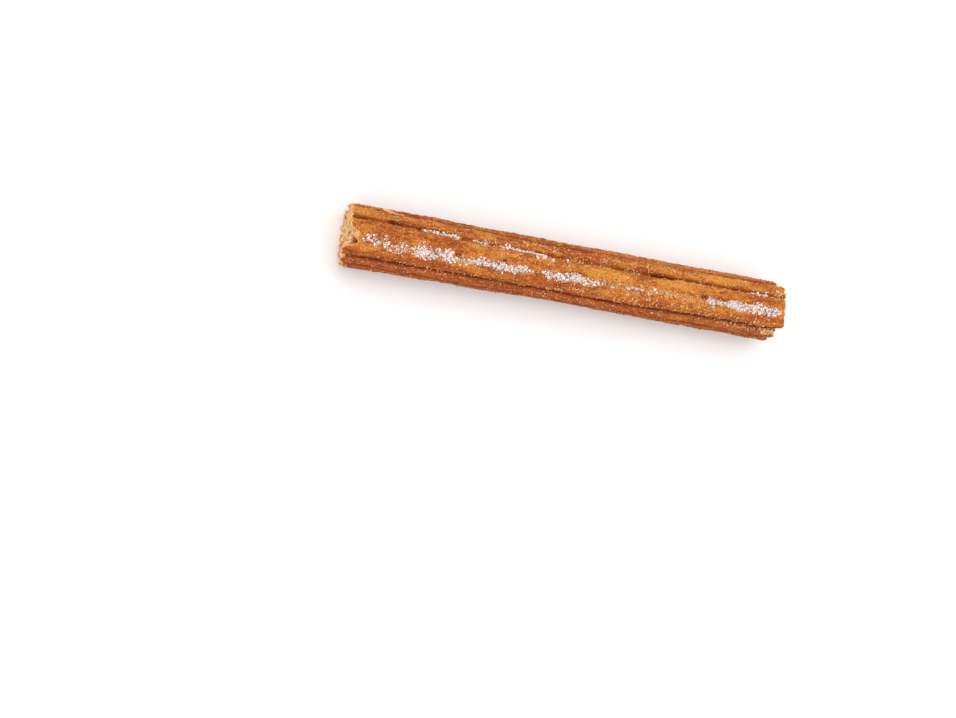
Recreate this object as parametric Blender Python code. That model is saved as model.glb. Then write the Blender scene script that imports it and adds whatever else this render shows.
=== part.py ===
"""A star-extruded, fried churro, lying flat on two of its ridges.

Metres, +Z up. The length runs along X, from the cleanly cut end at -X to the ragged end at +X.
The origin is the middle of the underside, on the surface that the churro lies on.
Angles round the stick are called roll: 0 faces up, 90 faces -Y, 180 faces down. A share is a
place along the stick, from 0 at the cut end to 1 at the ragged end.
"""

import math

import bmesh
import bpy

LENGTH = 0.1666
RIDGE_RADIUS = 0.0111  # centre line to the crown of a ridge
HEIGHT_SHARE = 0.98  # the stick has settled a little, so it is wider than it is tall
CROWN_ROUNDING = 0.0003  # how far a ridge's shoulders fall away before its grooves begin
SECTIONS = 44  # rings of points along the length

# The grooves of the twelve-pointed star: their roll in degrees at the cut end, in the middle and
# at the ragged end, their depth, the share of the neighbouring half ridges that falls into
# them, and how flat their floor is, from 0 for a cleft to 1 for a trough.
GROOVES = (
    (8, 10, 1, 0.0012, 0.75, 1.0),
    (46, 47, 40, 0.0022, 0.44, 0.0),
    (68, 71, 68, 0.0013, 0.45, 0.0),
    (97, 100, 95, 0.0019, 0.55, 0.4),
    (126, 129, 124, 0.0019, 0.55, 0.2),
    (153, 154, 152, 0.0020, 0.55, 0.4),
    (181, 181, 180, 0.00115, 0.70, 0.8),
    (210, 209, 209, 0.0021, 0.55, 0.2),
    (238, 240, 238, 0.0019, 0.60, 0.5),
    (266, 270, 268, 0.0020, 0.50, 0.2),
    (294, 300, 298, 0.0014, 0.42, 0.0),
    (321, 332, 329, 0.0019, 0.46, 0.0),
)
RIDGES = len(GROOVES)
# Ridge n lies between groove n and the next. Places across it run from its first groove at -1,
# over its crown at 0, towards its second groove at 1, where the next ridge begins.
ACROSS_RIDGE = (-1.0, -0.8, -0.5, -0.17, 0.17, 0.5, 0.8)
AROUND = RIDGES * len(ACROSS_RIDGE)

RESTING_RIDGES = (5, 6)
RESTING_ROLL = math.radians(14)  # of their crowns, either side of the underside's middle
PRESSED = 0.0005  # how far the resting ridges are pressed flat
REST_HEIGHT = RIDGE_RADIUS * HEIGHT_SHARE * math.cos(RESTING_ROLL) - PRESSED

# How far the stick's radius and its centre line wander, at even steps from the cut end.
SWELLING = (0.00035, 0.00035, 0.00015, -0.0001, -0.0002, 0.0, -0.0001, -0.00005, 0.0)
BOW = (-0.0002, 0.0, 0.0, 0.0, 0.0, 0.0, 0.0, 0.0, -0.0001)
CROWN_WANDER = 0.00028
DEPTH_WANDER = 0.22
ROLL_WANDER = 1.2  # degrees

# How far each ridge stops short of the full length, at the cut end and at the ragged end.
CUT_SHORTFALL = (0.0, 0.0006, 0.0021, 0.0016, 0.0014, 0.0012, 0.0014, 0.0015, 0.0019, 0.0023, 0.0018, 0.0017)
RAGGED_SHORTFALL = (0.0, 0.0018, 0.0034, 0.0026, 0.0012, 0.0007, 0.001, 0.0016, 0.003, 0.0036, 0.0006, 0.0005)
CUT_NOTCH = 0.0003  # how much further back the rim lies at a groove
RAGGED_NOTCH = 0.0006
END_FADE = 0.012  # the length at each end over which the rings turn into the uneven rim
# The end faces are dished: rings at these shares of the outline, set back by these depths.
END_DISH = ((0.86, 0.0004), (0.45, 0.0010))

CRUST = (0.55, 0.24, 0.07, 1.0)
CRUST_ROUGHNESS = 0.5


def clear_scene():
    for old in list(bpy.data.objects):
        bpy.data.objects.remove(old, do_unlink=True)


def mix(first, last, amount):
    return first + (last - first) * amount


def eased(values, share):
    """Reads a short row of values at a share of the length, easing from each to the next."""
    place = share * (len(values) - 1)
    step = min(int(place), len(values) - 2)
    amount = place - step
    return mix(values[step], values[step + 1], amount * amount * (3 - 2 * amount))


def wander(share, seed):
    """A smooth, uneven curve along the stick, from about -1 to 1, different for each seed."""
    slow = math.sin(2 * math.pi * (1.1 * share + 0.37 * seed))
    middle = math.sin(2 * math.pi * (2.7 * share + 0.61 * seed * seed))
    quick = math.sin(2 * math.pi * (5.3 * share + 0.83 * seed))
    return 0.5 * slow + 0.3 * middle + 0.2 * quick


def groove_roll(number, share):
    turns, groove = divmod(number, RIDGES)
    steady = eased(GROOVES[groove][:3], share)
    return steady + 360 * turns + ROLL_WANDER * wander(share, groove + 3)


def crown_radius(ridge, share):
    """Distance of a ridge's crown from the centre line. The resting ridges are level."""
    wandering = 0.0 if ridge in RESTING_RIDGES else CROWN_WANDER * wander(share, ridge + 31)
    return RIDGE_RADIUS + eased(SWELLING, share) + wandering


def groove_fall(groove, across, share):
    """How far the outline falls from the crown towards a groove, at a place across the ridge."""
    depth, spread, floor = GROOVES[groove][3:]
    fall = max(0.0, (abs(across) - 1 + spread) / spread)
    sunk = fall * fall * (1 + floor * (2 - 2 * fall))
    return depth * (1 + DEPTH_WANDER * wander(share, groove + 17)) * sunk


def outline_point(ridge, across, share):
    """(radius, roll in radians) of the star outline at a place across a ridge."""
    first, last = groove_roll(ridge, share), groove_roll(ridge + 1, share)
    roll = math.radians(mix(first, last, (across + 1) / 2))
    groove = ridge if across < 0 else (ridge + 1) % RIDGES
    neighbour = (ridge - 1) % RIDGES if across < 0 else (ridge + 1) % RIDGES
    blend = 0.5 * across * across
    crown = mix(crown_radius(ridge, share), crown_radius(neighbour, share), blend)
    rounding = CROWN_ROUNDING * across * across
    return crown - rounding - groove_fall(groove, across, share), roll


def rim_shortfall(shortfalls, notch, ridge, across):
    """How far the rim stops short of the full length, at a place across a ridge."""
    neighbour = (ridge - 1) % RIDGES if across < 0 else (ridge + 1) % RIDGES
    blend = abs(across) ** 3
    return mix(shortfalls[ridge], shortfalls[neighbour], 0.5 * blend) + notch * blend


def end_inset(share, ridge, across, outline, dish):
    """How far a point lies in from where its even ring would be. The rings near an end follow
    its uneven rim, and the rings of the end face flatten towards its mean and are dished."""
    cut = share < 0.5
    shortfalls, notch = (CUT_SHORTFALL, CUT_NOTCH) if cut else (RAGGED_SHORTFALL, RAGGED_NOTCH)
    rim = rim_shortfall(shortfalls, notch, ridge, across)
    mean = sum(shortfalls) / RIDGES + notch / 2
    fade = max(0.0, 1 - LENGTH * min(share, 1 - share) / END_FADE) ** 2
    inset = fade * mix(mean, rim, outline) + dish
    return inset if cut else -inset


def ring_points(share, outline=1.0, dish=0.0):
    """The star outline at a share of the length, drawn in to a share of its size."""
    centre_y = eased(BOW, share)
    for ridge in range(RIDGES):
        for across in ACROSS_RIDGE:
            radius, roll = outline_point(ridge, across, share)
            x = LENGTH * (share - 0.5) + end_inset(share, ridge, across, outline, dish)
            y = centre_y - outline * radius * math.sin(roll)
            z = REST_HEIGHT + outline * radius * HEIGHT_SHARE * math.cos(roll)
            yield x, y, max(z, 0.0)


def section_shares():
    """Where the rings lie: closer together towards both ends."""
    for section in range(SECTIONS):
        even = section / (SECTIONS - 1)
        yield even - 0.035 * math.sin(2 * math.pi * even)


def place(verts, points):
    for vert, point in zip(verts, points, strict=True):
        vert.co = point


def extrude_ring(mesh, edges, points):
    """Extrudes one ring of edges to new points, and returns the new ring's edges."""
    made = bmesh.ops.extrude_edge_only(mesh, edges=edges)["geom"]
    verts = [item for item in made if isinstance(item, bmesh.types.BMVert)]
    place(verts, points)
    ring = set(verts)
    return [item for item in made if isinstance(item, bmesh.types.BMEdge) and set(item.verts) <= ring]


def close_end(mesh, edges, share):
    """Turns the rim in to a shallow, dished end face."""
    for outline, dish in END_DISH:
        edges = extrude_ring(mesh, edges, ring_points(share, outline, dish))
    bmesh.ops.contextual_create(mesh, geom=edges)


def churro_mesh():
    mesh = bmesh.new()
    shares = list(section_shares())
    verts = bmesh.ops.create_circle(mesh, cap_ends=False, segments=AROUND, radius=RIDGE_RADIUS)["verts"]
    place(verts, ring_points(shares[0]))
    first_ring = list(mesh.edges)
    edges = first_ring
    for share in shares[1:]:
        edges = extrude_ring(mesh, edges, ring_points(share))
    close_end(mesh, edges, shares[-1])
    close_end(mesh, first_ring, shares[0])
    bmesh.ops.recalc_face_normals(mesh, faces=mesh.faces)
    bmesh.ops.poke(mesh, faces=[face for face in mesh.faces if len(face.verts) == AROUND])
    data = bpy.data.meshes.new("churro")
    mesh.to_mesh(data)
    mesh.free()
    return data


def crust_material():
    material = bpy.data.materials.new("fried_crust")
    material.use_nodes = True
    shader = material.node_tree.nodes["Principled BSDF"]
    shader.inputs["Base Color"].default_value = CRUST
    shader.inputs["Roughness"].default_value = CRUST_ROUGHNESS
    return material


def build():
    clear_scene()
    data = churro_mesh()
    data.shade_smooth()
    data.materials.append(crust_material())
    bpy.context.scene.collection.objects.link(bpy.data.objects.new("churro", data))


build()
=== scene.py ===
"""Looks of a sugared churro: its fried crust, its cut crumb, the loose sugar and the studio.

The churro lies along X with its cut end at -X. Round the stick, a place counts ridges: 0 is the
groove that faces up, 3 faces -Y, 6 faces down and 12 is the top again. A share is a place along
the stick, from 0 at the cut end to 1 at the ragged end. All lengths are in metres.
"""

import logging
import math
from collections.abc import Callable
from dataclasses import dataclass, field
from enum import Enum

import bpy
import numpy as np
from mathutils import Matrix, Quaternion, Vector, noise
from mathutils.bvhtree import BVHTree


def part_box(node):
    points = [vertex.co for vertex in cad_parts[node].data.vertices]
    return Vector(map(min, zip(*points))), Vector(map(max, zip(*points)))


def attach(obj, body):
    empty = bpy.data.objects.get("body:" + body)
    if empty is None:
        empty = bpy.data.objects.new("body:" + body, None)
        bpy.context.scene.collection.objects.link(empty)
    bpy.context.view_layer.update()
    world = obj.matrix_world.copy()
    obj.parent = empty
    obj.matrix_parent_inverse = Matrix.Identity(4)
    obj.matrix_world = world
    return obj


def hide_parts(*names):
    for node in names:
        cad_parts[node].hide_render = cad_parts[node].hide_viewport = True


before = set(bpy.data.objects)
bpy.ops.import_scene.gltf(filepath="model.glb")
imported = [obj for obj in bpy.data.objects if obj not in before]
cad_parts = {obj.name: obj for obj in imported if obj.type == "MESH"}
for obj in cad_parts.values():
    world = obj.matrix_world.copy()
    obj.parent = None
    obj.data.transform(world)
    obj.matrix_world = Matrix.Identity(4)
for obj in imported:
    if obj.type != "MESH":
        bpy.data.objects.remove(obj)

LOG = logging.getLogger("churro")
MM = 0.001
NODE = "churro"
BODY = "root"
NOISE_STEP = 37.7  # how far apart the noises of two seeds are read
CELL_STEP = 23.1

Row = np.ndarray  # one number for each point
Points = np.ndarray  # one point in each row
Triple = tuple[float, float, float]
Socket = bpy.types.NodeSocket
Piece = bpy.types.Object


class Slot(Enum):
    """The material slots of the record."""

    CRUST = "crust"
    CRUMB = "crumb"
    SUGAR = "sugar"


class Part(Enum):
    """What is selected in edit mode, as Blender's select mode."""

    CORNERS = (True, False, False)
    EDGES = (False, True, False)


class Tint(Enum):
    """Linear base colours."""

    GOLD = (0.520, 0.153, 0.020)
    PALE_GOLD = (0.690, 0.290, 0.062)
    TAN = (0.400, 0.100, 0.013)
    # The next two are the crust's darkest tone, also used as painted shade in its grooves, and painted shade
    # deep in grooves and pits.
    RUSSET_AND_SHADE = (0.240, 0.046, 0.008)
    CLEFT_SHADE = (0.120, 0.022, 0.004)
    EMBER = (0.470, 0.096, 0.020)
    HONEY = (0.600, 0.235, 0.022)
    PITH = (0.960, 0.720, 0.440)
    CREAM = (0.880, 0.530, 0.230)
    STRAW = (0.780, 0.370, 0.115)
    BISCUIT = (0.620, 0.280, 0.080)
    # The next two are the crumb's darkest tone, also used as painted shade in its pockets, and painted shade
    # deep in its holes.
    POCKET_BROWN_AND_SHADE = (0.300, 0.105, 0.026)
    HOLE_SHADE = (0.120, 0.036, 0.010)
    FROST = (0.860, 0.650, 0.560)
    # Painted shade between the sugar grains, laid on the crust under the drifts.
    SUGAR_GAP_SHADE = (0.160, 0.052, 0.024)
    SUGAR_WHITE = (0.900, 0.845, 0.900)
    SUGAR_CREAM = (0.820, 0.620, 0.480)
    # Painted shade: the darkest sugar grains stand in for the shade between grains.
    SUGAR_PAINTED_SHADE = (0.430, 0.205, 0.110)
    SUGAR_HONEY = (0.860, 0.620, 0.340)
    SUGAR_AMBER = (0.760, 0.430, 0.160)
    SUGAR_GOLD = (0.560, 0.240, 0.070)
    FLOOR = (0.920, 0.920, 0.920)
    SKY = (1.000, 1.000, 1.000)

    @property
    def rgba(self) -> tuple[float, ...]:
        """The colour with full alpha."""
        return (*self.value, 1.0)


# ---- Small tools ----


def mix(first: Row, last: Row, amount: Row) -> Row:
    """Blends two values, from the first at amount 0 to the last at amount 1."""
    return first + (last - first) * amount


def smooth(amount: Row) -> Row:
    """Eases a 0 to 1 amount at both ends."""
    held = np.clip(amount, 0.0, 1.0)
    return held * held * (3 - 2 * held)


def eased(values: tuple[float, ...], share: Row) -> Row:
    """Reads a short row of values along the stick.

    Args:
        values: The values at even steps from share 0 to share 1.
        share: Where to read them.

    Returns:
        The values, easing from each step to the next.
    """
    row = np.asarray(values, float)
    place = np.clip(share, 0.0, 1.0) * (len(row) - 1)
    step = np.minimum(place.astype(int), len(row) - 2)
    return mix(row[step], row[step + 1], smooth(place - step))


def noise_at(points: Points, size: Triple, seed: int) -> Row:
    """Smooth noise from about -1 to 1, with features of a size in millimetres along X, Y and Z."""
    scaled = points / (MM * np.asarray(size)) + NOISE_STEP * seed
    return np.array([noise.noise(point) for point in scaled.tolist()])


def cells_at(points: Points, size: float, seed: int) -> Row:
    """Distance to the middle of the nearest cell, for cells of a size in millimetres."""
    scaled = points / (MM * size) + CELL_STEP * seed
    return np.array([noise.voronoi(point)[0][0] for point in scaled.tolist()])


def deselect_all() -> None:
    """Leaves object mode with nothing selected."""
    if bpy.context.object and bpy.context.object.mode != "OBJECT":
        bpy.ops.object.mode_set(mode="OBJECT")
    bpy.ops.object.select_all(action="DESELECT")


def coordinates(mesh: bpy.types.Mesh) -> Points:
    """Reads all vertex coordinates of a mesh.

    Args:
        mesh: The mesh.

    Returns:
        The points.
    """
    flat = np.empty(len(mesh.vertices) * 3)
    mesh.vertices.foreach_get("co", flat)
    return flat.reshape(-1, 3)


def move_vertices(mesh: bpy.types.Mesh, points: Points) -> None:
    """Puts every vertex of a mesh at its own point."""
    mesh.vertices.foreach_set("co", points.astype(np.float32).ravel())
    mesh.update()


def select(piece: Piece, part: Part, wanted: Callable[..., bool]) -> None:
    """Selects, in edit mode, the corners or edges that pass a test.

    Args:
        piece: The piece, which is the active object.
        part: Which of them are tested.
        wanted: The test, given a corner's point or an edge's two ends.
    """
    bpy.ops.object.mode_set(mode="OBJECT")
    mesh = piece.data
    points = [vertex.co.copy() for vertex in mesh.vertices]
    tested = mesh.edges if part is Part.EDGES else mesh.vertices
    ends = [item.vertices if part is Part.EDGES else (item.index,) for item in tested]
    chosen = [wanted(*(points[end] for end in group)) for group in ends]
    for layer in (mesh.vertices, mesh.edges, mesh.polygons):
        layer.foreach_set("select", [False] * len(layer))
    tested.foreach_set("select", chosen)
    bpy.context.tool_settings.mesh_select_mode = part.value
    bpy.ops.object.mode_set(mode="EDIT")


def face_outwards(piece: Piece) -> None:
    """Turns a piece's faces the same way out and shades them smooth.

    Args:
        piece: The finished shape.
    """
    deselect_all()
    piece.select_set(True)
    bpy.context.view_layer.objects.active = piece
    bpy.ops.object.mode_set(mode="EDIT")
    bpy.ops.mesh.select_all(action="SELECT")
    bpy.ops.mesh.normals_make_consistent(inside=False)
    bpy.ops.object.mode_set(mode="OBJECT")
    bpy.ops.object.shade_smooth()


def write_attribute(mesh: bpy.types.Mesh, name: str, values: Row) -> None:
    """Stores one number for each vertex, for the materials to read."""
    layer = mesh.attributes.new(name, "FLOAT", "POINT")
    layer.data.foreach_set("value", values.astype(np.float32))


def settle(piece: Piece, name: str, material: bpy.types.Material) -> None:
    """Names and dresses a finished piece, and ties it to the churro's body.

    Args:
        piece: The finished piece, at the origin.
        name: Its name.
        material: Its material.
    """
    piece.name = name
    piece.data.name = name
    piece.data.materials.append(material)
    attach(piece, BODY)
    LOG.info("%s: %d faces", name, len(piece.data.polygons))


# ---- Finishes ----


@dataclass
class Bench:
    """Builds one material's nodes."""

    name: str
    material: bpy.types.Material = field(init=False)
    shader: bpy.types.ShaderNode = field(init=False)

    def __post_init__(self) -> None:
        """Starts a material that holds only its shader and its output."""
        self.material = bpy.data.materials.new(self.name)
        self.material.use_nodes = True
        self.shader = self.material.node_tree.nodes["Principled BSDF"]

    def feed(self, node: bpy.types.ShaderNode, inputs: dict[str | int, object]) -> None:
        """Feeds a node's inputs.

        Args:
            node: The node.
            inputs: For each input, a socket to link to it or a plain value to set.
        """
        for key, source in inputs.items():
            if isinstance(source, Socket):
                self.material.node_tree.links.new(source, node.inputs[key])
            else:
                node.inputs[key].default_value = source

    def node(self, kind: str, inputs: dict[str | int, object], **settings: object) -> bpy.types.ShaderNode:
        """Adds a node.

        Args:
            kind: The node's type.
            inputs: What it is fed.
            settings: Its properties.

        Returns:
            The node.
        """
        made = self.material.node_tree.nodes.new(kind)
        for key, value in settings.items():
            setattr(made, key, value)
        self.feed(made, inputs)
        return made

    def noise(self, size: Triple, detail: float, rough: float = 0.5) -> Socket:
        """Fractal noise from 0 to 1 on Object coordinates.

        Args:
            size: The size of its features along X, Y and Z.
            detail: How many finer layers it has.
            rough: How strong those are.

        Returns:
            The noise.
        """
        place = self.node("ShaderNodeTexCoord", {}).outputs["Object"]
        fed = {"Vector": place, "Scale": [1 / side for side in size]}
        scaled = self.node("ShaderNodeMapping", fed, vector_type="POINT").outputs["Vector"]
        fed = {"Vector": scaled, "Scale": 1.0, "Detail": detail, "Roughness": rough}
        return self.node("ShaderNodeTexNoise", fed).outputs["Fac"]

    def read(self, attribute: str) -> Socket:
        """The piece's own attribute of that name."""
        return self.node("ShaderNodeAttribute", {}, attribute_name=attribute).outputs["Fac"]

    def weigh(self, base: float, *parts: tuple[Socket, float, float]) -> Socket:
        """Adds up several numbers.

        Args:
            base: What the sum starts from.
            parts: Each number with its weight and the middle value that it is measured from.

        Returns:
            The sum.
        """
        total = base - sum(weight * middle for _, weight, middle in parts)
        for source, weight, _ in parts:
            made = self.node("ShaderNodeMath", {0: source, 1: weight, 2: total}, operation="MULTIPLY_ADD")
            total = made.outputs[0]
        return total

    def ramp(self, value: Socket, *stops: tuple[float, Tint]) -> Socket:
        """A colour read from a row of tints.

        Args:
            value: Where to read it.
            stops: Each tint with its position.

        Returns:
            The colour.
        """
        made = self.node("ShaderNodeValToRGB", {"Fac": value})
        elements = made.color_ramp.elements
        while len(elements) < len(stops):
            elements.new(0.5)
        for element, (position, tint) in zip(elements, stops, strict=True):
            element.position = position
            element.color = tint.rgba
        return made.outputs["Color"]

    def lay(
        self, below: Socket, above: Socket | Tint, number: Socket, band: tuple[float, float], strength: float
    ) -> Socket:
        """Lays one colour over another where a number says so.

        Args:
            below: The colour underneath.
            above: The colour over it.
            number: What decides where it shows.
            band: The values of that number where it starts to show, and where it shows fully.
            strength: How strongly it shows there, from 0 to 1.

        Returns:
            The colour.
        """
        fed = {"Value": number, "From Min": band[0], "From Max": band[1], "To Max": strength}
        amount = self.node("ShaderNodeMapRange", fed, interpolation_type="SMOOTHSTEP").outputs["Result"]
        made = self.node("ShaderNodeMix", {0: amount}, data_type="RGBA")
        colours = [key for key, socket in enumerate(made.inputs) if socket.type == "RGBA"]
        upper = above.rgba if isinstance(above, Tint) else above
        self.feed(made, dict(zip(colours, (below, upper), strict=True)))
        return next(socket for socket in made.outputs if socket.type == "RGBA")

    def bump(self, height: Socket, depth: float) -> Socket:
        """The normal of fine relief of the given depth."""
        fed = {"Strength": 1.0, "Distance": depth, "Height": height}
        return self.node("ShaderNodeBump", fed).outputs["Normal"]


@dataclass(frozen=True)
class FriedCrust:
    """Golden brown fried dough, paler where it was cut and frosted by sugar, with painted shade in its
    creases, pits and hollows, down its sides, towards its cut end and between the sugar grains.
    """

    streak: Triple = (20 * MM, 0.9 * MM, 0.9 * MM)
    patch: Triple = (15 * MM, 3.2 * MM, 3.2 * MM)
    mottle: Triple = (1.3 * MM, 0.85 * MM, 0.85 * MM)
    speck: Triple = (0.55 * MM, 0.45 * MM, 0.45 * MM)
    fleck: Triple = (0.9 * MM, 0.65 * MM, 0.65 * MM)
    hue: Triple = (4.0 * MM, 2.0 * MM, 2.0 * MM)
    pore_depth: float = 0.20 * MM
    specular: float = 0.15

    def material(self) -> bpy.types.Material:
        """Builds the crust's nodes.

        Returns:
            The finished material.
        """
        bench = Bench("fried_crust")
        streak = bench.noise(self.streak, 3.0, 0.6)
        patch = bench.noise(self.patch, 2.0)
        mottle = bench.noise(self.mottle, 3.0, 0.65)
        speck = bench.noise(self.speck, 2.0, 0.6)
        fleck = bench.noise(self.fleck, 0.0)
        fringe = bench.read("fringe")
        # Painted shade: the tone darkens in the relief's low spots and down the sides, on the side away from
        # the lamp and towards the cut end. This sits beside real browning and random streaks and mottle.
        tone = bench.weigh(
            0.50,
            (streak, 0.62, 0.5),
            (patch, 0.80, 0.5),
            (mottle, 0.85, 0.5),
            (speck, 1.75, 0.5),
            (bench.read("height"), 0.45, 0.5),
            (bench.read("browning_and_shade"), -0.30, 0.0),
            (fringe, 0.25, 0.0),
        )
        # The hue also reddens the painted shade on the side towards -Y and on the cut half.
        hue = bench.weigh(0.5, (bench.noise(self.hue, 2.0), 1.2, 0.5), (bench.read("toast_and_shade"), 0.19, 0.4))
        cleft_shade = bench.weigh(0.0, (bench.read("cleft_shade"), 1.0, 0.0), (mottle, 0.6, 0.5), (streak, 0.8, 0.5))
        torn = bench.weigh(0.0, (fringe, 1.0, 0.0), (speck, 1.3, 0.5), (mottle, 0.9, 0.5))
        frost = bench.weigh(0.0, (bench.read("frost"), 1.0, 0.0), (mottle, 1.0, 0.5))
        pale = bench.ramp(bench.weigh(0.5, (speck, 1.5, 0.5)), (0.30, Tint.STRAW), (0.75, Tint.CREAM))
        # Painted shade: under the sugar, dark speckles of shade between the grains mix with pale sugar dust.
        frost_and_gap_shade = bench.ramp(speck, (0.47, Tint.SUGAR_GAP_SHADE), (0.60, Tint.FROST))
        crust = bench.ramp(
            tone, (0.08, Tint.RUSSET_AND_SHADE), (0.32, Tint.TAN), (0.54, Tint.GOLD), (0.90, Tint.PALE_GOLD)
        )
        for above, number, band, strength in (
            (Tint.EMBER, hue, (0.54, 0.68), 0.68),
            (Tint.HONEY, hue, (0.46, 0.32), 0.55),
            (Tint.PALE_GOLD, fleck, (0.62, 0.76), 0.45),
            (Tint.RUSSET_AND_SHADE, fleck, (0.40, 0.26), 0.60),
            # Painted shade: grooves and deep pits darken where shade falls in them.
            (Tint.RUSSET_AND_SHADE, cleft_shade, (0.05, 0.60), 0.85),
            (Tint.CLEFT_SHADE, cleft_shade, (0.65, 1.20), 0.85),
            (pale, torn, (0.62, 0.95), 1.0),
            (frost_and_gap_shade, frost, (0.25, 0.90), 0.75),
        ):
            crust = bench.lay(crust, above, number, band, strength)
        relief = bench.weigh(0.0, (mottle, 0.8, 0.0), (speck, 0.7, 0.0))
        fed = {
            "Base Color": crust,
            "Roughness": bench.weigh(0.50, (mottle, 0.5, 0.5)),
            "Specular IOR Level": self.specular,
            "Normal": bench.bump(relief, self.pore_depth),
        }
        bench.feed(bench.shader, fed)
        return bench.material


@dataclass(frozen=True)
class OpenCrumb:
    """Pale, soft crumb with a baked rind, where the dough was cut or torn, and painted shade in its pockets
    and holes.
    """

    name: str
    paleness: float
    patch: Triple = (2.4 * MM, 2.4 * MM, 2.4 * MM)
    grain: Triple = (0.9 * MM, 0.9 * MM, 0.9 * MM)
    speck: Triple = (0.34 * MM, 0.34 * MM, 0.34 * MM)
    speck_depth: float = 0.25 * MM
    roughness: float = 0.8
    specular: float = 0.2

    def material(self) -> bpy.types.Material:
        """Builds the crumb's nodes.

        Returns:
            The finished material.
        """
        bench = Bench(self.name)
        patch = bench.noise(self.patch, 1.0)
        grain = bench.noise(self.grain, 3.0, 0.6)
        speck = bench.noise(self.speck, 2.0)
        tone = bench.weigh(self.paleness, (patch, 0.9, 0.5), (grain, 1.7, 0.5), (speck, 1.3, 0.5))
        rind = bench.weigh(0.0, (bench.read("rind"), 1.0, 0.0), (grain, 1.2, 0.5), (speck, 0.8, 0.5))
        pocket_shade = bench.weigh(0.0, (bench.read("pocket_shade"), 1.0, 0.0), (grain, 0.5, 0.5), (speck, 0.4, 0.5))
        crumb = bench.ramp(
            tone, (0.10, Tint.POCKET_BROWN_AND_SHADE), (0.36, Tint.BISCUIT), (0.60, Tint.CREAM), (0.90, Tint.PITH)
        )
        crumb = bench.lay(crumb, Tint.STRAW, rind, (0.35, 0.90), 0.8)
        # Painted shade: the crumb's cells and holes darken where shade falls in them.
        crumb = bench.lay(crumb, Tint.POCKET_BROWN_AND_SHADE, pocket_shade, (0.15, 0.60), 0.9)
        crumb = bench.lay(crumb, Tint.HOLE_SHADE, pocket_shade, (0.60, 1.00), 0.9)
        relief = bench.weigh(0.0, (grain, 0.7, 0.0), (speck, 0.6, 0.0))
        fed = {
            "Base Color": crumb,
            "Roughness": self.roughness,
            "Specular IOR Level": self.specular,
            "Normal": bench.bump(relief, self.speck_depth),
        }
        bench.feed(bench.shader, fed)
        return bench.material


@dataclass(frozen=True)
class SugarGlint:
    """Sugar grains: glossy, a little uneven in colour from grain to grain, the darkest painted with the shade
    that falls between grains.
    """

    name: str
    tints: tuple[Tint, Tint, Tint]
    stops: Triple = (0.05, 0.45, 0.80)
    roughness: float = 0.18

    def material(self) -> bpy.types.Material:
        """Builds the sugar's nodes.

        Returns:
            The finished material.
        """
        bench = Bench(self.name)
        colour = bench.ramp(bench.read("grain"), *zip(self.stops, self.tints, strict=True))
        bench.feed(bench.shader, {"Base Color": colour, "Roughness": self.roughness})
        return bench.material


# ---- The churro's shape ----


@dataclass(frozen=True)
class Where:
    """Where points lie: their places round the stick and their shares along it."""

    place: Row
    share: Row


@dataclass(frozen=True)
class Groove:
    """One groove of the star.

    Its roll in degrees at the cut end, in the middle and at the ragged end, its depth, the share
    of the neighbouring half ridges that falls into it, how flat its floor is, and how much painted shade lies
    in it.
    """

    rolls: Triple
    depth: float
    spread: float
    floor: float
    painted_shade: float


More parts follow.
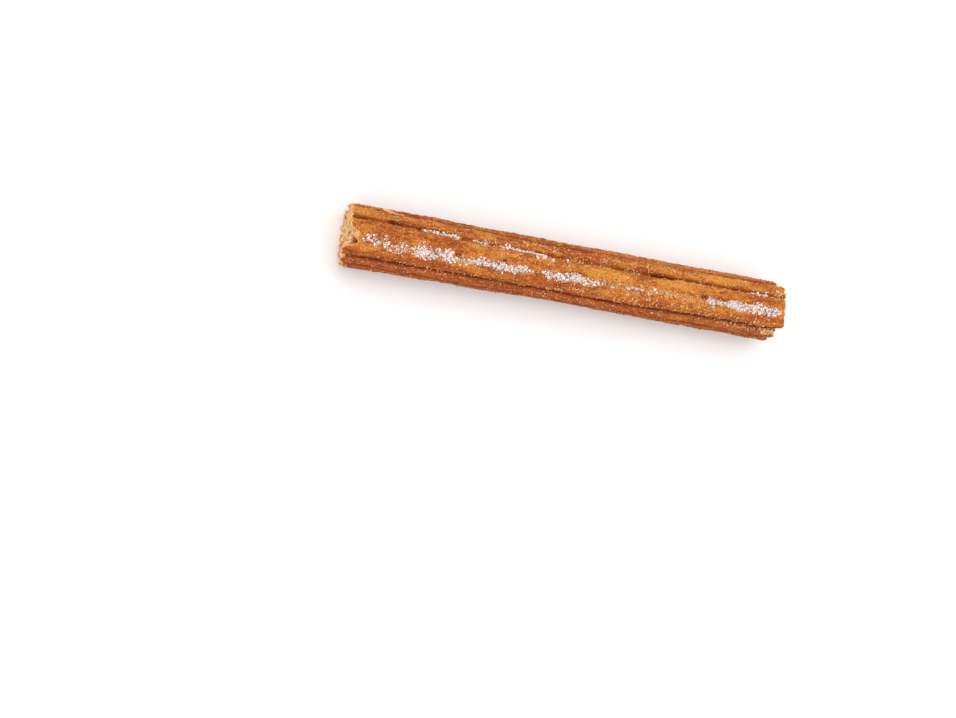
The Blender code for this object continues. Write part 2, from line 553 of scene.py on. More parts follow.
@dataclass(frozen=True)
class StarSection:
    """The twelve-ridged section of the solid, and how it wanders along the stick."""

    length: float
    grooves: tuple[Groove, ...] = (
        Groove((8, 10, 1), 1.2 * MM, 0.75, 1.0, 0.10),
        Groove((46, 47, 40), 2.2 * MM, 0.44, 0.0, 1.40),
        Groove((68, 71, 68), 1.3 * MM, 0.45, 0.0, 1.10),
        Groove((97, 100, 95), 1.9 * MM, 0.55, 0.4, 0.70),
        Groove((126, 129, 124), 1.9 * MM, 0.55, 0.2, 0.90),
        Groove((153, 154, 152), 2.0 * MM, 0.55, 0.4, 0.80),
        Groove((181, 181, 180), 1.15 * MM, 0.70, 0.8, 0.60),
        Groove((210, 209, 209), 2.1 * MM, 0.55, 0.2, 0.90),
        Groove((238, 240, 238), 1.9 * MM, 0.60, 0.5, 0.70),
        Groove((266, 270, 268), 2.0 * MM, 0.50, 0.2, 0.90),
        Groove((294, 300, 298), 1.4 * MM, 0.42, 0.0, 1.10),
        Groove((321, 332, 329), 1.9 * MM, 0.46, 0.0, 1.10),
    )
    ridge_radius: float = 11.1 * MM
    height_share: float = 0.98
    crown_rounding: float = 0.3 * MM
    resting_ridges: tuple[int, int] = (5, 6)
    resting_roll: float = math.radians(14)
    pressed: float = 0.5 * MM
    swelling: tuple[float, ...] = (0.35, 0.35, 0.15, -0.1, -0.2, 0.0, -0.1, -0.05, 0.0)
    bow: tuple[float, ...] = (-0.2, 0.0, 0.0, 0.0, 0.0, 0.0, 0.0, 0.0, -0.1)
    crown_wander: float = 0.28 * MM
    depth_wander: float = 0.22
    roll_wander: float = 1.2
    cut_shortfall: tuple[float, ...] = (0.0, 0.6, 2.1, 1.6, 1.4, 1.2, 1.4, 1.5, 1.9, 2.3, 1.8, 1.7)
    ragged_shortfall: tuple[float, ...] = (0.0, 1.8, 3.4, 2.6, 1.2, 0.7, 1.0, 1.6, 3.0, 3.6, 0.6, 0.5)
    cut_notch: float = 0.3 * MM
    ragged_notch: float = 0.6 * MM
    end_fade: float = 12 * MM

    @property
    def ridges(self) -> int:
        """How many ridges the star has."""
        return len(self.grooves)

    @property
    def rest_height(self) -> float:
        """How high the centre line lies over the table."""
        return self.ridge_radius * self.height_share * math.cos(self.resting_roll) - self.pressed

    def places(self, points: Points, middle: Vector) -> tuple[Where, Row]:
        """Finds where points of a plain blank lie.

        Args:
            points: The blank's points.
            middle: The middle of the solid's box.

        Returns:
            Where they lie, and the share of the blank's size that each is out.
        """
        high = points[:, 2] - self.rest_height
        share = np.clip((points[:, 0] - middle.x) / self.length + 0.5, 0, 1)
        place = (np.arctan2(-points[:, 1], high) / (2 * math.pi) % 1.0) * self.ridges
        inward = np.clip(np.hypot(points[:, 1], high) / self.ridge_radius, 0, 1)
        return Where(place, share), np.where(inward > 0.999, 1.0, inward)

    @staticmethod
    def wander(share: Row, seed: int) -> Row:
        """Wanders unevenly along the stick.

        Args:
            share: Where along the stick.
            seed: The number of the curve.

        Returns:
            A smooth curve from about -1 to 1.
        """
        slow = np.sin(2 * math.pi * (1.1 * share + 0.37 * seed))
        middle = np.sin(2 * math.pi * (2.7 * share + 0.61 * seed * seed))
        quick = np.sin(2 * math.pi * (5.3 * share + 0.83 * seed))
        return 0.5 * slow + 0.3 * middle + 0.2 * quick

    def groove_rolls(self, share: Row) -> Row:
        """Finds the roll of every groove.

        Args:
            share: Where along the stick.

        Returns:
            The rolls in degrees, with the first groove's again at the end.
        """
        rows = [
            eased(groove.rolls, share) + self.roll_wander * self.wander(share, number + 3)
            for number, groove in enumerate(self.grooves)
        ]
        return np.stack([*rows, rows[0] + 360])

    def crown_radii(self, share: Row) -> Row:
        """Finds the radius of every ridge's crown.

        Args:
            share: Where along the stick.

        Returns:
            The radii, one row for each ridge.
        """
        swell = self.ridge_radius + MM * eased(self.swelling, share)
        wanders = [0 if ridge in self.resting_ridges else self.crown_wander for ridge in range(self.ridges)]
        return np.stack([swell + far * self.wander(share, n + 31) for n, far in enumerate(wanders)])

    def outline(self, at: Where) -> tuple[Row, Row, Row]:
        """The star outline.

        Args:
            at: Where the points lie.

        Returns:
            The radius, the roll in radians, and how far into a groove it is, from 0 to 1.
        """
        ridge = np.floor(at.place).astype(int) % self.ridges
        across = 2 * (at.place % 1.0) - 1
        here = np.arange(len(at.place))
        rolls = self.groove_rolls(at.share)
        roll = np.radians(mix(rolls[ridge, here], rolls[ridge + 1, here], (across + 1) / 2))
        groove = np.where(across < 0, ridge, ridge + 1) % self.ridges
        neighbour = np.where(across < 0, ridge - 1, ridge + 1) % self.ridges
        crowns = self.crown_radii(at.share)
        crown = mix(crowns[ridge, here], crowns[neighbour, here], 0.5 * across * across)
        deeper = [1 + self.depth_wander * self.wander(at.share, number + 17) for number in range(self.ridges)]
        depths = np.stack([row.depth * more for row, more in zip(self.grooves, deeper, strict=True)])
        spread = np.array([row.spread for row in self.grooves])[groove]
        floor = np.array([row.floor for row in self.grooves])[groove]
        fall = np.clip((np.abs(across) - 1 + spread) / spread, 0, None)
        sunk = fall * fall * (1 + floor * (2 - 2 * fall))
        radius = crown - self.crown_rounding * across * across - depths[groove, here] * sunk
        return radius, roll, sunk

    def end_inset(self, at: Where, inward: Row | float) -> Row:
        """How far a point lies from its even ring, along X, because of the uneven ends.

        Args:
            at: Where the points lie.
            inward: The share of the outline's size, below 1 on the end faces.

        Returns:
            The distance along X.
        """
        ridge = np.floor(at.place).astype(int) % self.ridges
        across = 2 * (at.place % 1.0) - 1
        neighbour = np.where(across < 0, ridge - 1, ridge + 1) % self.ridges
        blend = np.abs(across) ** 3
        cut = at.share < 0.5
        inset = np.zeros(len(at.place))
        for side, shortfalls, notch in (
            (cut, self.cut_shortfall, self.cut_notch),
            (~cut, self.ragged_shortfall, self.ragged_notch),
        ):
            reach = MM * np.array(shortfalls)
            rim = mix(reach[ridge], reach[neighbour], 0.5 * blend) + notch * blend
            inset[side] = mix(reach.mean() + notch / 2, rim, inward)[side]
        fade = np.clip(1 - self.length * np.minimum(at.share, 1 - at.share) / self.end_fade, 0, None) ** 2
        return fade * inset * np.where(cut, 1, -1)


# ---- The crust ----


@dataclass(frozen=True)
class Spot:
    """One feature of the dough: a pit, a blister, a bite out of an end's rim or a browner patch.

    Its share and place, its half length and half width, and its amount: how deep it is, below 0
    if it stands up, or how much browner it is.
    """

    share: float
    place: float
    half_length: float
    half_width: float
    amount: float


def spots_of(unit: float, *rows: tuple[float, float, float, float, float]) -> tuple[Spot, ...]:
    """Makes several spots.

    Args:
        unit: What their amounts are measured in.
        rows: Each one's share, place, half length and half width in millimetres, and amount.

    Returns:
        The spots.
    """
    return tuple(Spot(row[0], row[1], MM * row[2], MM * row[3], unit * row[4]) for row in rows)


@dataclass(frozen=True)
class Dough:
    """The surface of the fried dough: the section, its relief and its torn ends.

    The spots are pits and blisters, the bites are out of the rims, the splits show pale dough,
    and the blushes are browner or paler patches. The patterns' sizes, heights and depths are in
    millimetres.
    """

    section: StarSection
    middle: Vector
    spots: tuple[Spot, ...] = spots_of(
        MM,
        (0.0, 6.0, 6.0, 3.0, -0.7), (0.249, 11.85, 0.9, 0.7, 0.8), (0.351, 11.8, 0.8, 0.6, 0.7),
        (0.805, 11.85, 1.2, 0.8, 0.7), (0.594, 11.45, 6.0, 1.8, -0.35), (0.663, 11.05, 8.0, 1.6, 0.45),
        (0.036, 1.5, 1.3, 0.6, 0.8), (0.105, 10.96, 3.2, 0.7, 0.65), (0.7, 10.96, 5.0, 0.7, 0.65),
    )
    bites: tuple[Spot, ...] = spots_of(
        MM,
        (0.0, 11.78, 1.0, 1.25, 3.2), (0.0, 0.14, 1.0, 1.25, 4.3), (0.0, 1.05, 1.0, 0.7, 1.4),
        (1.0, 0.95, 1.0, 0.7, 1.0), (1.0, 0.22, 1.0, 1.3, -0.7), (1.0, 10.85, 1.0, 0.9, -0.6),
        (1.0, 10.2, 1.0, 0.9, 1.2),
    )
    splits: tuple[Spot, ...] = spots_of(
        MM,
        (0.101, 9.92, 4.2, 0.55, -0.35), (0.092, 10.05, 2.2, 0.35, -0.25), (0.122, 9.97, 1.0, 0.9, -0.3),
    )
    # A blush is a browner or paler patch. The long one low on the cut half, at share 0.19, is painted shadow
    # of neighbouring churros.
    blushes: tuple[Spot, ...] = spots_of(
        1.0,
        (0.035, 10.6, 6.0, 4.0, -1.3), (0.19, 1.1, 24.0, 3.2, 1.0), (0.225, 1.1, 6.0, 2.4, 0.6),
        (0.292, 0.5, 6.0, 3.0, -0.8), (0.292, 10.4, 6.0, 2.2, -0.6), (0.46, 0.45, 12.0, 3.2, 0.8),
        (0.53, 10.4, 9.0, 2.6, 1.4), (0.548, 11.5, 4.0, 2.2, -0.7), (0.6, 11.45, 7.0, 2.2, -0.7),
        (0.675, 11.05, 6.0, 1.8, 0.7), (0.68, 0.4, 8.0, 3.0, 0.8), (0.74, 11.35, 8.0, 2.6, -0.7),
        (0.78, 1.15, 14.0, 2.5, -0.6), (0.84, 10.4, 10.0, 2.6, -1.0), (0.94, 0.6, 9.0, 3.5, 0.7),
        (0.94, 11.45, 7.0, 2.2, 0.8),
    )
    pit_depth: float = 0.6 * MM  # spots deeper than this get painted shade inside
    groove_wobble: float = 0.12
    seat: float = 0.7 * MM
    # The sizes of the strands, creases, lumps, blisters and grit along X, Y and Z.
    patterns: tuple[Triple, ...] = (
        (16, 0.85, 0.85), (14, 2, 2), (9, 3, 3), (1.9, 1.3, 1.3), (0.95, 0.7, 0.7),
    )
    strand_height: float = 0.24
    lump_height: float = 0.28
    blister_height: float = 0.15
    grit_height: float = 0.12
    crease_depth: float = 0.40
    crease_width: float = 0.045
    filling_height: float = 0.6
    shoulder_roughness: float = 1.3
    cut_tears: tuple[float, float] = (0.4, 0.6)  # coarse and fine
    ragged_tears: tuple[float, float] = (0.9, 0.7)
    rim_reach: float = 5 * MM  # how far from the rim the skin is pulled
    bite_reach: float = 14 * MM

    def tube(self, at: Where, inward: Row | float = 1.0) -> Points:
        """Points on a plain round tube, for patterns to be read at.

        Args:
            at: Where the points lie.
            inward: The share of the tube's size.

        Returns:
            The points, one in each row.
        """
        angle = 2 * math.pi * at.place / self.section.ridges
        reach = inward * self.section.ridge_radius
        along = self.middle.x + self.section.length * (at.share - 0.5)
        return np.stack([along, -reach * np.sin(angle), reach * np.cos(angle)], axis=1)

    def spot_falloff(self, spot: Spot, at: Where) -> Row:
        """Finds how strongly a spot is felt.

        Args:
            spot: The spot.
            at: Where the points lie.

        Returns:
            Its strength at each point, from 0 to 1.
        """
        ridges = self.section.ridges
        step = 2 * math.pi * self.section.ridge_radius / ridges
        across = ((at.place - spot.place + ridges / 2) % ridges - ridges / 2) * step / spot.half_width
        along = (at.share - spot.share) * self.section.length / spot.half_length
        return np.exp(-((along * along + across * across) ** 1.5))

    def relief(self, plain: Points, at: Where, sunk: Row) -> Row:
        """The height of the fried relief over the even section.

        Args:
            plain: The pattern points.
            at: Where they lie.
            sunk: How far each is into a groove.

        Returns:
            The height at each point.
        """
        shoulder = 1 + self.shoulder_roughness * np.exp(-(((sunk - 0.25) / 0.25) ** 2))
        strands, crease, lumps, blisters, grit = (
            noise_at(plain, size, seed) for seed, size in enumerate(self.patterns, start=1)
        )
        height = self.strand_height * strands + self.lump_height * lumps
        height += self.blister_height * blisters * shoulder + self.grit_height * grit * shoulder
        creased = np.exp(-((crease / self.crease_width) ** 2)) * (1 - np.clip(sunk, 0, 1))
        height -= self.crease_depth * creased
        for spot in (*self.spots, *self.splits):
            height -= spot.amount / MM * self.spot_falloff(spot, at)
        return MM * (height + self.filling_height * self.filling(plain) * np.clip(sunk, 0, 1))

    @staticmethod
    def filling(plain: Points) -> Row:
        """How far swollen dough has closed each groove, from 0 to 1, coming and going along it."""
        return np.clip(0.35 + 1.5 * noise_at(plain, (11, 4, 4), 13), 0, 1)

    def surface(self, at: Where, inward: Row | float = 1.0) -> tuple[Points, Row, Row]:
        """Points of the dough's outside.

        Args:
            at: Where the points lie.
            inward: The share of the outline's size, below 1 on the end faces.

        Returns:
            The points, how far each is into a groove, and the height of its relief.
        """
        section = self.section
        plain = self.tube(at)
        wavy = noise_at(plain, (6, 2.5, 2.5), 7) + 0.5 * noise_at(plain, (2.2, 1, 1), 8)
        wobbled = Where((at.place + self.groove_wobble * wavy) % section.ridges, at.share)
        radius, roll, sunk = section.outline(wobbled)
        height = self.relief(plain, at, sunk)
        to_table = section.rest_height / (section.height_share * np.clip(-np.cos(roll), 0.001, None))
        size = inward * np.minimum(radius + height, to_table)
        along = self.middle.x + section.length * (at.share - 0.5) + section.end_inset(at, inward**2)
        along += self.tear(plain, at) * inward**5
        across = MM * eased(section.bow, at.share) - size * np.sin(roll)
        high = section.rest_height + size * section.height_share * np.cos(roll)
        return np.stack([along, across, high], axis=1), sunk, height

    def tear(self, plain: Points, at: Where) -> Row:
        """Finds how far the torn rims pull the skin near the ends.

        Args:
            plain: The pattern points.
            at: Where they lie.

        Returns:
            The distance along X.
        """
        section = self.section
        from_end = section.length * np.minimum(at.share, 1 - at.share)
        fade = np.clip(1 - from_end / self.rim_reach, 0, 1) ** 2
        bite_fade = np.clip(1 - from_end / self.bite_reach, 0, 1) ** 2
        coarse = noise_at(plain, (40, 1.6, 1.6), 9)
        fine = noise_at(plain, (40, 0.6, 0.6), 10)
        cut = at.share < 0.5
        nicks = self.cut_tears[0] * coarse + self.cut_tears[1] * fine
        tears = self.ragged_tears[0] * (0.5 + coarse) + self.ragged_tears[1] * (0.5 + fine)
        bitten = np.zeros(len(at.share))
        for bite in self.bites:
            nearby = self.spot_falloff(bite, Where(at.place, np.full(len(cut), bite.share)))
            bitten += bite.amount / MM * nearby * (cut == (bite.share < 0.5))
        pulled = fade * np.where(cut, nicks, np.clip(tears, 0, 2)) + bite_fade * bitten
        return MM * pulled * np.where(cut, 1, -1)

    def rim_distance(self, points: Points, at: Where) -> Row:
        """How far points of the skin lie from the cut rim, along X."""
        start, _, _ = self.surface(Where(at.place, np.zeros(len(points))))
        return points[:, 0] - start[:, 0]


@dataclass
class Skin:
    """The churro's skin, drawn as a fine tube and worked into shape."""

    dough: Dough
    places_per_ridge: int = 19
    cuts: int = 18  # made twice, so there are 19 x 19 rings along the stick
    # How strongly painted shade darkens the deep pits.
    pit_shade: float = 1.3
    relief_range: float = 0.55 * MM
    lee_shade: float = 0.65  # painted shade: how much browner the side towards -Y, away from the lamp, is
    cut_end_shadow: float = 0.35  # painted shadow of neighbouring churros: how much browner the half towards the cut end is
    # Painted shade: how much redder the side towards -Y is.
    lee_shade_redness: float = 0.3
    rim_paleness: float = 0.75 * MM  # how far the pale rim reaches
    split_paleness: float = 1.6
    piece: Piece = field(init=False)

    def draw_blank(self) -> None:
        """Draws the plain open tube."""
        section = self.dough.section
        deselect_all()
        around, radius = section.ridges * self.places_per_ridge, section.ridge_radius
        bpy.ops.mesh.primitive_cylinder_add(
            vertices=around, radius=radius, depth=section.length, end_fill_type="NOTHING",
            location=(self.dough.middle.x, 0, section.rest_height), rotation=(0, math.pi / 2, 0),
        )
        self.piece = bpy.context.object
        bpy.ops.object.transform_apply(location=True, rotation=True, scale=True)
        for _ in range(2):
            select(self.piece, Part.EDGES, lambda near, far: abs(far.x - near.x) > 0.5 * (far - near).length)
            bpy.ops.mesh.subdivide(number_cuts=self.cuts)
        bpy.ops.object.mode_set(mode="OBJECT")

    def work(self, sugar: "SugarBed") -> None:
        """Moves the blank's vertices into shape and stores what the crust's material reads.

        Args:
            sugar: Where the sugar lies.
        """
        mesh = self.piece.data
        section = self.dough.section
        at, _ = section.places(coordinates(mesh), self.dough.middle)
        points, sunk, height = self.dough.surface(at)
        move_vertices(mesh, points)
        crown = (points[:, 2] - section.rest_height) / section.ridge_radius
        groove = np.rint(at.place).astype(int) % section.ridges
        # Painted shade: each groove darkens by its own amount, less where swollen dough has closed it, and
        # deep pits darken too.
        painted_shade = np.array([row.painted_shade for row in section.grooves])[groove]
        plain = self.dough.tube(at)
        open_groove = 1 - 0.5 * self.dough.filling(plain)
        cleft_shade = np.clip(sunk, 0, 1) ** 0.7 * painted_shade * open_groove
        for pit in (spot for spot in self.dough.spots if spot.amount > self.dough.pit_depth):
            cleft_shade = np.maximum(cleft_shade, self.pit_shade * self.dough.spot_falloff(pit, at))
        write_attribute(mesh, "cleft_shade", cleft_shade)
        # Painted shade: the crust's material darkens the relief's low spots and lightens its high spots.
        write_attribute(mesh, "height", np.clip(0.5 + height / self.relief_range, 0, 1))
        # Painted shade: the side towards -Y, away from the lamp, is browner and redder. The half towards the
        # cut end is browner as painted shadow of neighbouring churros. The blushes add browner or paler
        # patches.
        lee = smooth((at.place - 0.2) / 0.9) * smooth((3.6 - at.place) / 0.9)
        toast_and_shade = self.lee_shade * lee + self.cut_end_shadow * smooth((0.75 - at.share) / 0.5)
        for blush in self.dough.blushes:
            toast_and_shade = toast_and_shade + blush.amount * self.dough.spot_falloff(blush, at)
        write_attribute(mesh, "toast_and_shade", toast_and_shade + self.lee_shade_redness * lee)
        # Partly real browning, partly painted shade: the crust darkens down its sides, away from the top
        # where the light falls.
        write_attribute(mesh, "browning_and_shade", 1 - np.clip(crown, 0, 1) ** 0.8 + toast_and_shade)
        rim = self.dough.rim_distance(points, at)
        pale = [np.exp(-np.clip(rim, 0, None) / self.rim_paleness)]
        splits = [self.dough.spot_falloff(split, at) for split in self.dough.splits]
        pale += [self.split_paleness * split for split in splits]
        write_attribute(mesh, "fringe", np.clip(np.max(pale, axis=0), 0, 1))
        write_attribute(mesh, "frost", sugar.cover(self.dough, at))

    def build(self, sugar: "SugarBed", finish: FriedCrust) -> Piece:
        """Makes the finished skin.

        Args:
            sugar: Where the sugar lies.
            finish: The crust's finish.

        Returns:
            The piece.
        """
        self.draw_blank()
        self.work(sugar)
        face_outwards(self.piece)
        settle(self.piece, "crust", finish.material())
        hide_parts(NODE)
        return self.piece


@dataclass
class EndFace:
    """The crumb that shows at one end, drawn inwards from the rim ring by ring.

    For a hole in it, the spot's share is how far out it lies and its half length is radial.
    """

    dough: Dough
    name: str
    cut: bool
    seed: int
    holes: tuple[Spot, ...] = ()
    dish: float = 0.7  # this and the sizes and depths below are in millimetres
    cell_size: float = 1.0
    cell_depth: float = 0.55
    pocket_size: float = 3.1
    pocket_depth: float = 1.5
    lump_depth: float = 0.9
    tear_depth: float = 0.8
    grain_depth: float = 0.45
    places_per_ridge: int = 19
    rings: int = 30
    piece: Piece = field(init=False)

    def draw_blank(self) -> None:
        """Draws the plain disc."""
        section = self.dough.section
        end = self.dough.middle.x + section.length * (-0.5 if self.cut else 0.5)
        centre = (end, 0, section.rest_height)
        deselect_all()
        around, radius = section.ridges * self.places_per_ridge, section.ridge_radius
        bpy.ops.mesh.primitive_circle_add(
            vertices=around, radius=radius, fill_type="NOTHING", location=centre, rotation=(0, math.pi / 2, 0)
        )
        self.piece = bpy.context.object
        bpy.ops.object.transform_apply(location=True, rotation=True, scale=True)
        bpy.ops.object.mode_set(mode="EDIT")
        bpy.ops.mesh.select_all(action="SELECT")
        for ring in range(self.rings):
            shrink = (self.rings - ring - 0.5) / (self.rings - ring + 0.5)
            bpy.ops.mesh.extrude_edges_move()
            bpy.ops.transform.resize(value=(1, shrink, shrink), center_override=centre)
        bpy.ops.mesh.edge_face_add()
        bpy.ops.mesh.poke()
        bpy.ops.object.mode_set(mode="OBJECT")

    def work(self) -> None:
        """Moves the disc's vertices to the rim and opens the crumb's cells."""
        mesh = self.piece.data
        section = self.dough.section
        at, inward = section.places(coordinates(mesh), self.dough.middle)
        at = Where(at.place, np.where(at.share < 0.5, 0.0, 1.0))
        points, _, _ = self.dough.surface(at, inward)
        plain = self.dough.tube(at, inward)
        small = np.clip(1 - cells_at(plain, self.cell_size, self.seed) / 0.45, 0, 1)
        large = np.clip(1 - cells_at(plain, self.pocket_size, self.seed + 2) / 0.36, 0, 1)
        rough = noise_at(plain, (2.6, 2.6, 2.6), self.seed + 5)
        torn = noise_at(plain, (1.1, 1.1, 1.1), self.seed + 7)
        fine = noise_at(plain, (0.5, 0.5, 0.5), self.seed + 9)
        inside = smooth((1 - inward) / 0.08)
        holes, sinking = np.zeros((2, len(inward)))
        for hole in self.holes:
            falloff = self.hole_falloff(hole, plain)
            holes = np.maximum(holes, falloff)
            sinking = np.maximum(sinking, hole.amount * falloff)
        depth = self.cell_depth * small + self.pocket_depth * smooth(1.6 * large) + self.lump_depth * rough
        depth += self.tear_depth * torn + self.grain_depth * fine + self.dish * (1 - inward**4)
        points[:, 0] += (MM * depth * inside + sinking) * (1 if self.cut else -1)
        move_vertices(mesh, points)
        # Painted shade for the crumb's cells and holes, for its material to read.
        write_attribute(mesh, "pocket_shade", np.clip((0.35 * small + 0.9 * large) * inside + holes, 0, 1))
        write_attribute(mesh, "rind", smooth((inward - 0.86) / 0.12))

    def hole_falloff(self, hole: Spot, plain: Points) -> Row:
        """Finds how deep a hole is.

        Args:
            hole: The hole.
            plain: The pattern points of the face.

        Returns:
            Its depth at each point, from 0 to 1.
        """
        angle = 2 * math.pi * hole.place / self.dough.section.ridges
        reach = hole.share * self.dough.section.ridge_radius
        out = (-math.sin(angle), math.cos(angle))
        along = plain[:, 1] * out[0] + plain[:, 2] * out[1] - reach
        across = plain[:, 1] * out[1] - plain[:, 2] * out[0]
        far = np.hypot(along / hole.half_length, across / hole.half_width)
        return smooth(1.4 - far)

    def build(self, finish: OpenCrumb) -> None:
        """Makes the finished end.

        Args:
            finish: The crumb's finish.
        """
        self.draw_blank()
        self.work()
        face_outwards(self.piece)
        settle(self.piece, self.name, finish.material())
        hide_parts(NODE)


# ---- Sugar ----


@dataclass(frozen=True)
class Drift:
    """A run of sugar caught in a groove.

    The shares it runs between, the place of its middle, its half width in ridges, and how
    densely it lies, from 0 to 1.
    """

    start: float
    end: float
    place: float
    half_width: float
    density: float


@dataclass(frozen=True)
class SugarBed:
    """All the sugar's drifts."""

    drifts: tuple[Drift, ...]
    ragged: float = 0.56
    fullness: float = 1.5  # how quickly the sugar thickens from a drift's edge
    run_out: float = 0.008  # how far a drift runs on past its ends, as a share

    def cover(self, dough: Dough, at: Where) -> Row:
        """How densely the sugar lies.

        Args:
            dough: The dough that it lies on.
            at: Where the points lie.

        Returns:
            The density at each point, from 0 to 1.
        """
        plain = dough.tube(at)
        clumps = noise_at(plain, (2.6, 1.4, 1.4), 21) + 0.6 * noise_at(plain, (1, 1, 1), 22)
        ridges = dough.section.ridges
        found = np.zeros(len(plain))
        for drift in self.drifts:
            off = np.abs((at.place - drift.place + ridges / 2) % ridges - ridges / 2) / drift.half_width
            half = (drift.end - drift.start) / 2
            along = np.abs(at.share - drift.start - half) / (half + self.run_out)
            edge = self.fullness * (1 - np.sqrt(off**2 + along**6)) + self.ragged * clumps
            level = drift.density + (1 - drift.density) * 0.9 * clumps
            found = np.maximum(found, smooth(edge) * np.clip(level, 0, 1))
        return found


def bed_of(*rows: tuple[float, float, float, float, float]) -> SugarBed:
    """Makes a bed from each drift's start, end, place, half width and density."""
    return SugarBed(tuple(Drift(*row) for row in rows))


WHITE_SUGAR = bed_of(
    (0.04, 0.062, 11.9, 0.2, 0.35), (0.061, 0.096, 11.97, 0.34, 0.42), (0.098, 0.172, 0.08, 0.32, 0.36),
    (0.16, 0.24, 0.04, 0.4, 1.0), (0.238, 0.286, 0.05, 0.28, 0.4), (0.286, 0.412, 0.05, 0.33, 0.92),
    (0.44, 0.521, 0.0, 0.32, 0.98), (0.517, 0.592, 11.98, 0.28, 0.55), (0.585, 0.72, 11.98, 0.22, 0.0),
    (0.39, 0.5, 11.3, 0.22, 0.06), (0.817, 0.866, 0.0, 0.28, 0.6), (0.863, 0.896, 0.0, 0.3, 0.9),
    (0.891, 0.921, 0.0, 0.28, 0.5), (0.916, 0.982, 0.02, 0.36, 0.84), (0.17, 0.19, 11.0, 0.16, 0.6),
    (0.2, 0.246, 11.0, 0.2, 0.8), (0.279, 0.315, 11.0, 0.18, 0.75), (0.341, 0.436, 11.0, 0.18, 0.8),
    (0.916, 0.946, 11.05, 0.22, 0.6),
)
GOLDEN_SUGAR = bed_of(
    (0.049, 0.98, 1.0, 0.4, 0.14), (0.029, 0.98, 10.95, 0.36, 0.12), (0.34, 0.52, 11.4, 0.36, 0.3),
    (0.3, 0.76, 10.45, 0.45, 0.05), (0.455, 0.98, 0.45, 0.4, 0.17), (0.842, 0.98, 1.1, 0.3, 0.45),
    (0.029, 0.168, 0.0, 0.4, 0.3), (0.564, 0.822, 11.98, 0.34, 0.8), (0.955, 0.992, 1.25, 0.4, 0.9),
    (0.97, 0.998, 10.85, 0.35, 0.9),
)


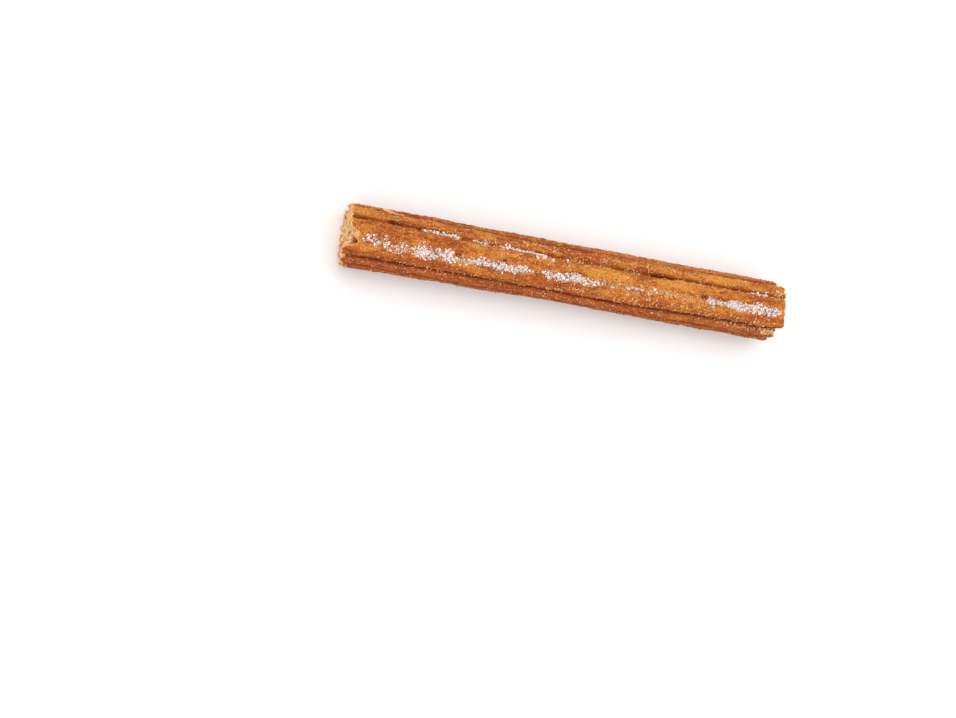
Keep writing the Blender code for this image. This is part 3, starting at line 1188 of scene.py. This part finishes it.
@dataclass
class SugarCoat:
    """One kind of grain, seated all over the crust."""

    name: str
    dough: Dough
    bed: SugarBed
    size: float
    tries: int
    loose: int
    seed: int
    heap: float = 0.0
    chamfer: float = 0.0
    corner_cut: float = 0.34
    overrun: float = 0.01  # how far past the ends of its drift a grain may lie, as a share
    reach: float = 1.5  # how far to the side it may lie, in half widths
    sizes: tuple[float, float] = (0.6, 1.4)
    sides: tuple[float, float] = (0.75, 1.15)
    lift: float = 0.2  # how far its middle stands out of the crust, in sizes

    def master(self) -> bpy.types.Mesh:
        """Models one grain: a crystal, narrower at one end, one unit across.

        Returns:
            The grain's mesh.
        """
        deselect_all()
        bpy.ops.mesh.primitive_cube_add(size=1.0)
        grain = bpy.context.object
        select(grain, Part.EDGES, lambda start, end: min(start.z, end.z) > 0)
        bpy.ops.transform.resize(value=(0.72, 0.8, 1), center_override=(0.1, 0, 0.5))
        if self.chamfer:
            bpy.ops.mesh.select_all(action="SELECT")
            bpy.ops.mesh.bevel(offset=self.chamfer, segments=1)
        else:
            select(grain, Part.CORNERS, lambda corner: corner.x * corner.y > 0 and corner.x * corner.z > 0)
            bpy.ops.mesh.bevel(offset=self.corner_cut, segments=1, affect="VERTICES")
        bpy.ops.object.mode_set(mode="OBJECT")
        mesh = grain.data
        bpy.data.objects.remove(grain)
        return mesh

    def seats(self, random: np.random.Generator) -> Where:
        """Picks where the grains go, more of them where the sugar lies densely.

        Args:
            random: The source of their places.

        Returns:
            Where they go.
        """
        ridges = self.dough.section.ridges
        places, shares = [random.uniform(0, ridges, self.loose)], [random.uniform(0.015, 0.985, self.loose)]
        room = [(drift.end - drift.start + 2 * self.overrun) * drift.half_width for drift in self.bed.drifts]
        for drift, part in zip(self.bed.drifts, room, strict=True):
            count = int(self.tries * part / sum(room))
            places.append(drift.place + self.reach * drift.half_width * random.uniform(-1, 1, count))
            shares.append(random.uniform(drift.start - self.overrun, drift.end + self.overrun, count))
        at = Where(np.concatenate(places), np.clip(np.concatenate(shares), 0.004, 0.992))
        kept = random.random(len(at.place)) < self.bed.cover(self.dough, at)
        kept[: self.loose] = True
        return Where(at.place[kept] % ridges, at.share[kept])

    def build(self, skin: Piece, finish: SugarGlint) -> None:
        """Seats the grains on the skin.

        Args:
            skin: The finished skin.
            finish: The grains' finish.
        """
        random = np.random.default_rng(self.seed)
        tree = BVHTree.FromPolygons(
            [vertex.co for vertex in skin.data.vertices], [list(face.vertices) for face in skin.data.polygons]
        )
        at = self.seats(random)
        section = self.dough.section
        _, roll, _ = section.outline(at)
        along = self.dough.middle.x + section.length * (at.share - 0.5)
        middle_y = MM * eased(section.bow, at.share)
        heaped = self.bed.cover(self.dough, at)
        seats = []
        for x, y, turn, white in zip(*(row.tolist() for row in (along, middle_y, roll, heaped)), strict=True):
            outward = Vector((0, -math.sin(turn), math.cos(turn)))
            hit, normal, _, _ = tree.ray_cast(Vector((x, y, section.rest_height)) + outward * 0.03, -outward)
            if hit is None or hit.z < self.dough.seat:
                continue
            size = self.size * random.uniform(*self.sizes)
            point = hit + normal * (self.lift * size + self.heap * random.random() ** 2)
            # Grains are whiter where the sugar lies densely. The darkest white-sugar grains are painted
            # shade.
            seats.append((point, size, 0.3 * white + 0.7 * random.random()))
        settle(self.stamp(seats, random), self.name, finish.material())

    def stamp(self, seats: list[tuple[Vector, float, float]], random: np.random.Generator) -> Piece:
        """Copies a grain to every seat, each turned and scaled its own way.

        Args:
            seats: Each grain's point, its size, and how white it is, from 0 to 1.
            random: The source of their turns.

        Returns:
            One piece that holds them all.
        """
        points, sizes, whiteness = (np.array(column) for column in zip(*seats, strict=True))
        master = self.master()
        shape = coordinates(master)
        turns = random.normal(size=(len(seats), 4))
        turned = np.array([Quaternion(turn).normalized().to_matrix() for turn in turns.tolist()])
        grown = shape[None] * (sizes[:, None] * random.uniform(*self.sides, (len(seats), 3)))[:, None]
        placed = np.einsum("nij,nmj->nmi", turned, grown) + points[:, None]
        faces = [face.vertices[:] for face in master.polygons]
        starts = range(0, len(seats) * len(shape), len(shape))
        corners = [[corner + start for corner in face] for start in starts for face in faces]
        mesh = bpy.data.meshes.new(self.name)
        mesh.from_pydata(placed.reshape(-1, 3).tolist(), [], corners)
        write_attribute(mesh, "grain", np.repeat(whiteness, len(shape)))
        made = bpy.data.objects.new(self.name, mesh)
        bpy.context.scene.collection.objects.link(made)
        return made


# ---- Studio ----


@dataclass
class Studio:
    """A pale floor, soft light from above and the camera."""

    floor_size: float = 6.0
    lens: float = 85.0
    sensor: float = 36.0
    frame_width: float = 956.0
    unit: float = 0.3645 * MM  # the size of one part in frame_width at the churro
    tilt: float = math.radians(11.5)
    roll: float = math.radians(9.84)
    offset: tuple[float, float] = (86.3, 84.9)
    lamp_place: Triple = (0.1, 0.42, 1.2)
    lamp_size: float = 1.2
    lamp_power: float = 6.5

    def lay_floor(self) -> None:
        """Lays the pale floor."""
        deselect_all()
        bpy.ops.mesh.primitive_plane_add(size=self.floor_size, location=(0, 0, 0))
        floor = bpy.context.object
        floor.name = "floor"
        bench = Bench("pale_floor")
        fed = {"Base Color": Tint.FLOOR.rgba, "Roughness": 0.9, "Specular IOR Level": 0.1}
        bench.feed(bench.shader, fed)
        floor.data.materials.append(bench.material)

    def light(self) -> None:
        """Sets the pale surroundings and one large soft lamp behind the churro."""
        world = bpy.data.worlds.new("pale_room")
        world.use_nodes = True
        world.node_tree.nodes["Background"].inputs["Color"].default_value = Tint.SKY.rgba
        world.node_tree.nodes["Background"].inputs["Strength"].default_value = 1.0
        bpy.context.scene.world = world
        bpy.ops.object.light_add(type="AREA", location=self.lamp_place)
        lamp = bpy.context.object
        lamp.name = "softbox"
        lamp.data.size = self.lamp_size
        lamp.data.energy = self.lamp_power
        lamp.rotation_euler = Vector(self.lamp_place).to_track_quat("Z", "Y").to_euler()
        bpy.context.scene.view_settings.view_transform = "Standard"

    def aim(self, centre: Vector) -> None:
        """Places the camera over the churro, leaning towards its cut end.

        Args:
            centre: The churro's centre.
        """
        lean = Matrix.Rotation(-self.tilt, 3, "Y")
        right = lean @ Vector((math.cos(self.roll), math.sin(self.roll), 0))
        up = lean @ Vector((-math.sin(self.roll), math.cos(self.roll), 0))
        back = right.cross(up)
        distance = self.frame_width * self.unit * self.lens / self.sensor
        data = bpy.data.cameras.new("camera")
        data.lens = self.lens
        data.sensor_width = self.sensor
        data.clip_start = 0.01
        camera = bpy.data.objects.new("camera", data)
        bpy.context.scene.collection.objects.link(camera)
        place = centre - right * self.offset[0] * self.unit - up * self.offset[1] * self.unit
        place += back * distance
        camera.matrix_world = Matrix.Translation(place) @ Matrix((right, up, back)).transposed().to_4x4()
        bpy.context.scene.camera = camera


def main() -> None:
    """Builds the churro's pieces in order, then the studio."""
    logging.basicConfig(level=logging.INFO, format="%(message)s")
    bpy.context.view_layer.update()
    low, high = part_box(NODE)
    dough = Dough(StarSection(length=high.x - low.x), (low + high) / 2)
    skin = Skin(dough).build(WHITE_SUGAR, FriedCrust())
    holes = spots_of(
        MM,
        (0.8, 0.26, 1.3, 1.5, 3.4), (0.86, 11.1, 0.6, 0.5, 2.0), (0.8, 1.45, 0.8, 1.3, 2.6),
        (0.62, 11.2, 0.5, 0.6, 2.4), (0.4, 3.0, 0.9, 0.7, 2.6), (0.55, 7.4, 0.7, 1.0, 2.6),
    )
    EndFace(dough, "cut_crumb", cut=True, seed=1, holes=holes).build(OpenCrumb("cut_crumb", paleness=0.58))
    EndFace(dough, "torn_crumb", cut=False, seed=2).build(OpenCrumb("torn_crumb", paleness=0.46))
    white = (Tint.SUGAR_PAINTED_SHADE, Tint.SUGAR_CREAM, Tint.SUGAR_WHITE)
    gold = (Tint.SUGAR_GOLD, Tint.SUGAR_AMBER, Tint.SUGAR_HONEY)
    grains = SugarCoat("sugar_grains", dough, WHITE_SUGAR, 0.50 * MM, tries=5200, loose=20, seed=3)
    grains.heap, grains.chamfer = 0.3 * MM, 0.1
    grains.build(skin, SugarGlint("sugar_white", white))
    dust = SugarCoat("sugar_dust", dough, WHITE_SUGAR, 0.28 * MM, tries=4500, loose=300, seed=5)
    dust.heap = 0.5 * MM
    dust.build(skin, SugarGlint("sugar_dust", white))
    golden = SugarCoat("golden_grains", dough, GOLDEN_SUGAR, 0.28 * MM, tries=16000, loose=2200, seed=4)
    golden.build(skin, SugarGlint("sugar_golden", gold))
    studio = Studio()
    studio.lay_floor()
    studio.light()
    studio.aim(dough.middle)


if __name__ == "__main__":
    main()
